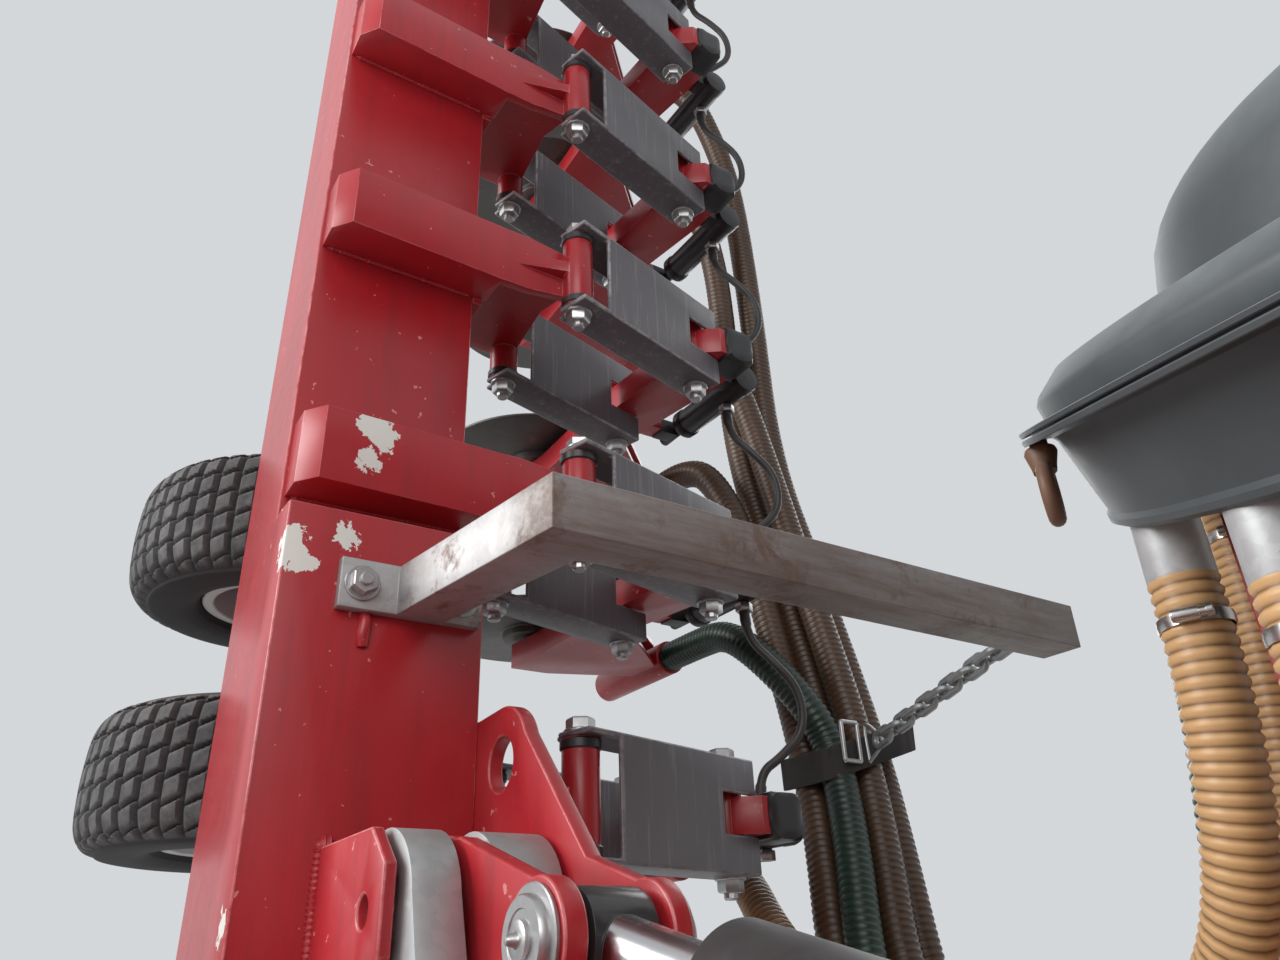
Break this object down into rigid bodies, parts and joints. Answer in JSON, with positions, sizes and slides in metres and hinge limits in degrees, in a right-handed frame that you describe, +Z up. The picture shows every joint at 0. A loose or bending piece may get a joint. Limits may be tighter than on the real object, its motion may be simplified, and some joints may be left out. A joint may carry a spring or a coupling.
{
  "type": "folded slurry injector",
  "caption": "Mounted farm implement that cuts slots with discs and injects slurry, with its wings folded upright, parked on slide-out stands.",
  "frame": {"origin": "on the floor, under the middle of the machine (bottom centre of its box, cords left out)", "axes": "+Z up, +Y rearward away from the hitch, +X to one side; the machine mirrors about X = 0"},
  "size_m": [3.206, 1.76, 2.965],
  "materials": {
    "red_paint": "faded and chipped signal red",
    "grey_link_paint": "satin graphite grey",
    "black_paint": "black",
    "chromed_rod": "polished",
    "disc_steel": "dull dark steel",
    "rim_paint": "dusty silver grey",
    "tyre": "dusty black rubber",
    "galvanised": "dull zinc with rust",
    "strap_webbing": "black webbing",
    "hose": "amber ribbed hose, browned by dirt",
    "oil_hose": "black rubber",
    "distributor_grey": "dirty dark grey"
  },
  "bodies": {
    "frame": {"centre_boom": "red_paint", "centre_brackets": "red_paint", "centre_upper_links": "grey_link_paint", "centre_lower_links": "grey_link_paint", "centre_carriers": "red_paint", "centre_press_cylinders": "black_paint", "hinge_knuckles": "galvanised", "hinge_pins": "galvanised", "cylinder_brackets": "red_paint", "lower_frame": "red_paint", "headstock": "red_paint", "distributor_housing": "distributor_grey", "distributor_lid": "distributor_grey", "distributor_motor": "black_paint", "feed_pipe": "galvanised", "leg_sleeves": "red_paint", "centre_hoses": "hose", "wing_hoses_right": "hose", "wing_hoses_left": "hose"},
    "centre_disc_set": {"centre_discs": "disc_steel"},
    "wing_right": {"wing_boom_right": "red_paint", "wing_hinge_cheeks_right": "red_paint", "wing_brackets_right": "red_paint", "wing_upper_links_right": "grey_link_paint", "wing_lower_links_right": "grey_link_paint", "wing_carriers_right": "red_paint", "wing_press_cylinders_right": "black_paint", "wheel_arm_right": "red_paint", "hose_bar_right": "galvanised", "hose_strap_right": "strap_webbing", "hose_chain_right": "galvanised", "oil_hoses_right": "oil_hose"},
    "disc_set_right": {"wing_discs_right": "disc_steel"},
    "wheels_right": {"wheel_rims_right": "rim_paint", "tyres_right": "tyre"},
    "cylinder_barrel_right": {"fold_cylinder_barrel_right": "black_paint"},
    "cylinder_rod_right": {"fold_cylinder_rod_right": "chromed_rod"},
    "front_leg_right": {"front_stand_right": "galvanised"},
    "rear_leg_right": {"rear_stand_right": "galvanised"},
    "wing_left": {"wing_boom_left": "red_paint", "wing_hinge_cheeks_left": "red_paint", "wing_brackets_left": "red_paint", "wing_upper_links_left": "grey_link_paint", "wing_lower_links_left": "grey_link_paint", "wing_carriers_left": "red_paint", "wing_press_cylinders_left": "black_paint", "wheel_arm_left": "red_paint", "hose_bar_left": "galvanised", "hose_strap_left": "strap_webbing", "hose_chain_left": "galvanised", "oil_hoses_left": "oil_hose"},
    "disc_set_left": {"wing_discs_left": "disc_steel"},
    "wheels_left": {"wheel_rims_left": "rim_paint", "tyres_left": "tyre"},
    "cylinder_barrel_left": {"fold_cylinder_barrel_left": "black_paint"},
    "cylinder_rod_left": {"fold_cylinder_rod_left": "chromed_rod"},
    "front_leg_left": {"front_stand_left": "galvanised"},
    "rear_leg_left": {"rear_stand_left": "galvanised"}
  },
  "joints": [
    {"name": "centre_discs_turn", "type": "hinge", "parent": "frame", "child": "centre_disc_set", "pos_m": [0, 0.21, 0.3], "axis": [1, 0, 0], "continuous": true},
    {"name": "front_stand_slide_right", "type": "slide", "parent": "frame", "child": "front_leg_right", "axis": [0, 0, 1], "range_m": [0, 0.3]},
    {"name": "rear_stand_slide_right", "type": "slide", "parent": "frame", "child": "rear_leg_right", "axis": [0, 0, 1], "range_m": [0, 0.3]},
    {"name": "wing_fold_right", "type": "hinge", "parent": "frame", "child": "wing_right", "pos_m": [0.725, -0.24, 1], "axis": [0, 1, 0], "range_deg": [0, 90], "deforming": ["wing_hoses_right"]},
    {"name": "cylinder_swing_right", "type": "hinge", "parent": "frame", "child": "cylinder_barrel_right", "pos_m": [0.12, -0.1715, 0.862], "axis": [0, -1, 0], "range_deg": [0, 12.88]},
    {"name": "rod_slide_right", "type": "slide", "parent": "cylinder_barrel_right", "child": "cylinder_rod_right", "axis": [0.9704, 0, 0.2415], "range_m": [0, 0.1854]},
    {"name": "wheels_turn_right", "type": "hinge", "parent": "wing_right", "child": "wheels_right", "pos_m": [1.325, -0.23, 1.341], "axis": [0, 0, 1], "continuous": true},
    {"name": "discs_turn_right", "type": "hinge", "parent": "wing_right", "child": "disc_set_right", "pos_m": [1.425, 0.21, 1.115], "axis": [0, 0, 1], "continuous": true},
    {"name": "front_stand_slide_left", "type": "slide", "parent": "frame", "child": "front_leg_left", "axis": [0, 0, 1], "range_m": [0, 0.3]},
    {"name": "rear_stand_slide_left", "type": "slide", "parent": "frame", "child": "rear_leg_left", "axis": [0, 0, 1], "range_m": [0, 0.3]},
    {"name": "wing_fold_left", "type": "hinge", "parent": "frame", "child": "wing_left", "pos_m": [-0.725, -0.24, 1], "axis": [0, -1, 0], "range_deg": [0, 90], "deforming": ["wing_hoses_left"]},
    {"name": "cylinder_swing_left", "type": "hinge", "parent": "frame", "child": "cylinder_barrel_left", "pos_m": [-0.12, -0.1715, 0.862], "axis": [0, 1, 0], "range_deg": [0, 12.88]},
    {"name": "rod_slide_left", "type": "slide", "parent": "cylinder_barrel_left", "child": "cylinder_rod_left", "axis": [-0.9704, 0, 0.2415], "range_m": [0, 0.1854]},
    {"name": "wheels_turn_left", "type": "hinge", "parent": "wing_left", "child": "wheels_left", "pos_m": [-1.325, -0.23, 1.341], "axis": [0, 0, 1], "continuous": true},
    {"name": "discs_turn_left", "type": "hinge", "parent": "wing_left", "child": "disc_set_left", "pos_m": [-1.425, 0.21, 1.115], "axis": [0, 0, 1], "continuous": true}
  ],
  "couplings": [
    {"joint": "cylinder_swing_right", "follows": "wing_fold_right", "ratio": 0.14295},
    {"joint": "rod_slide_right", "follows": "wing_fold_right", "m_per_rad": 0.11789},
    {"joint": "cylinder_swing_left", "follows": "wing_fold_left", "ratio": 0.14295},
    {"joint": "rod_slide_left", "follows": "wing_fold_left", "m_per_rad": 0.11789}
  ]
}
